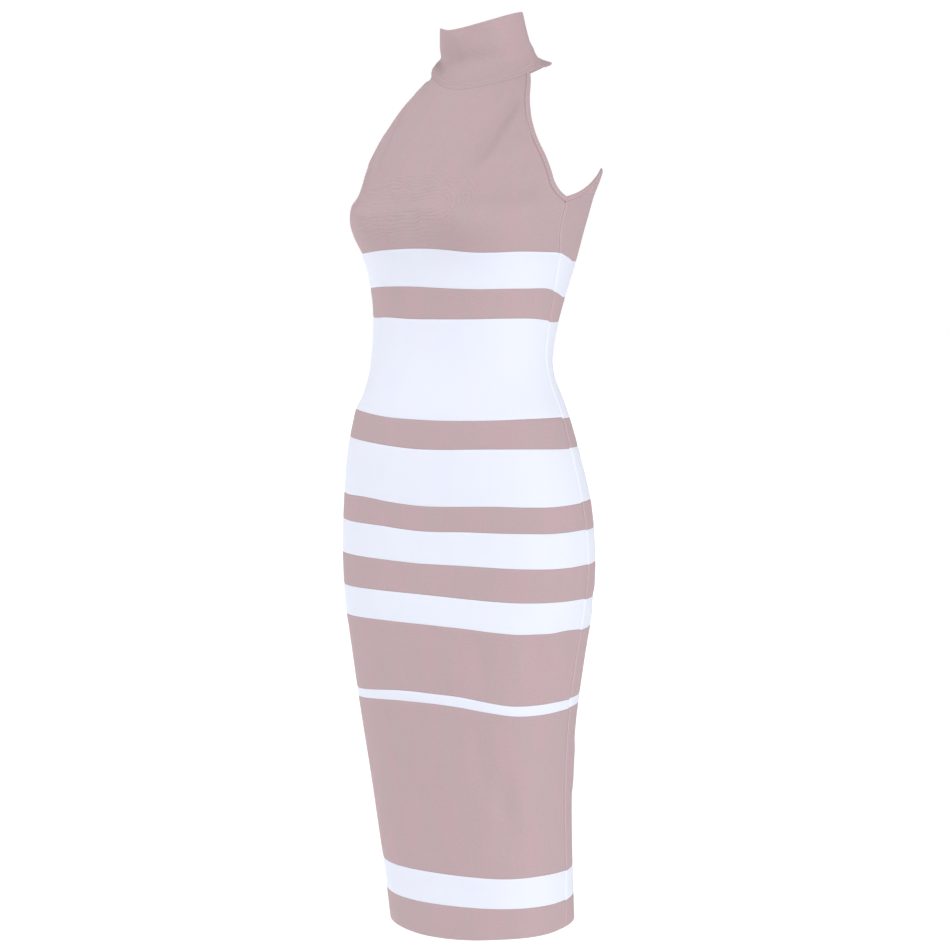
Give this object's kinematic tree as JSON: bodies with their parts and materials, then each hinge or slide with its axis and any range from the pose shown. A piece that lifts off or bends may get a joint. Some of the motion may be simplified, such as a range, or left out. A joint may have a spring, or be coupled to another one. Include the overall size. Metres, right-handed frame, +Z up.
{
  "type": "bodycon dress",
  "caption": "Sleeveless high-necked close-fitting dress of horizontal knit bands in pink and white, worn and hollow, with an open back and bound armholes.",
  "frame": {"origin": "the middle of the neck at the collar's seam, where the wearer's neck holds the dress up", "axes": "+Z up, +X to the wearer's left, +Y to the wearer's back"},
  "size_m": [0.3306, 0.2569, 1.1036],
  "materials": {
    "mauve_knit": "matt dusty pink stretch knit with a fine rib",
    "white_knit": "matt cool white stretch knit with a fine rib"
  },
  "bodies": {
    "root": {"front_hem": "mauve_knit", "back_hem": "mauve_knit", "front_band_01": "white_knit", "back_band_01": "white_knit", "front_band_02": "mauve_knit", "back_band_02": "mauve_knit", "front_band_03": "white_knit", "back_band_03": "white_knit", "front_band_04": "mauve_knit", "back_band_04": "mauve_knit", "front_band_05": "white_knit", "back_band_05": "white_knit", "front_band_06": "mauve_knit", "back_band_06": "mauve_knit", "front_band_07": "white_knit", "back_band_07": "white_knit", "front_band_08": "mauve_knit", "back_band_08": "mauve_knit", "front_band_09": "white_knit", "back_band_09": "white_knit", "front_band_10": "mauve_knit", "back_band_10": "mauve_knit", "front_band_11": "white_knit", "back_band_11": "white_knit", "front_band_12": "mauve_knit", "back_band_12": "mauve_knit", "front_band_13": "white_knit", "back_band_13": "white_knit", "front_bodice": "mauve_knit", "back_bodice": "mauve_knit", "binding_back": "mauve_knit", "binding_left": "mauve_knit", "binding_right": "mauve_knit", "collar": "mauve_knit"}
  },
  "joints": []
}
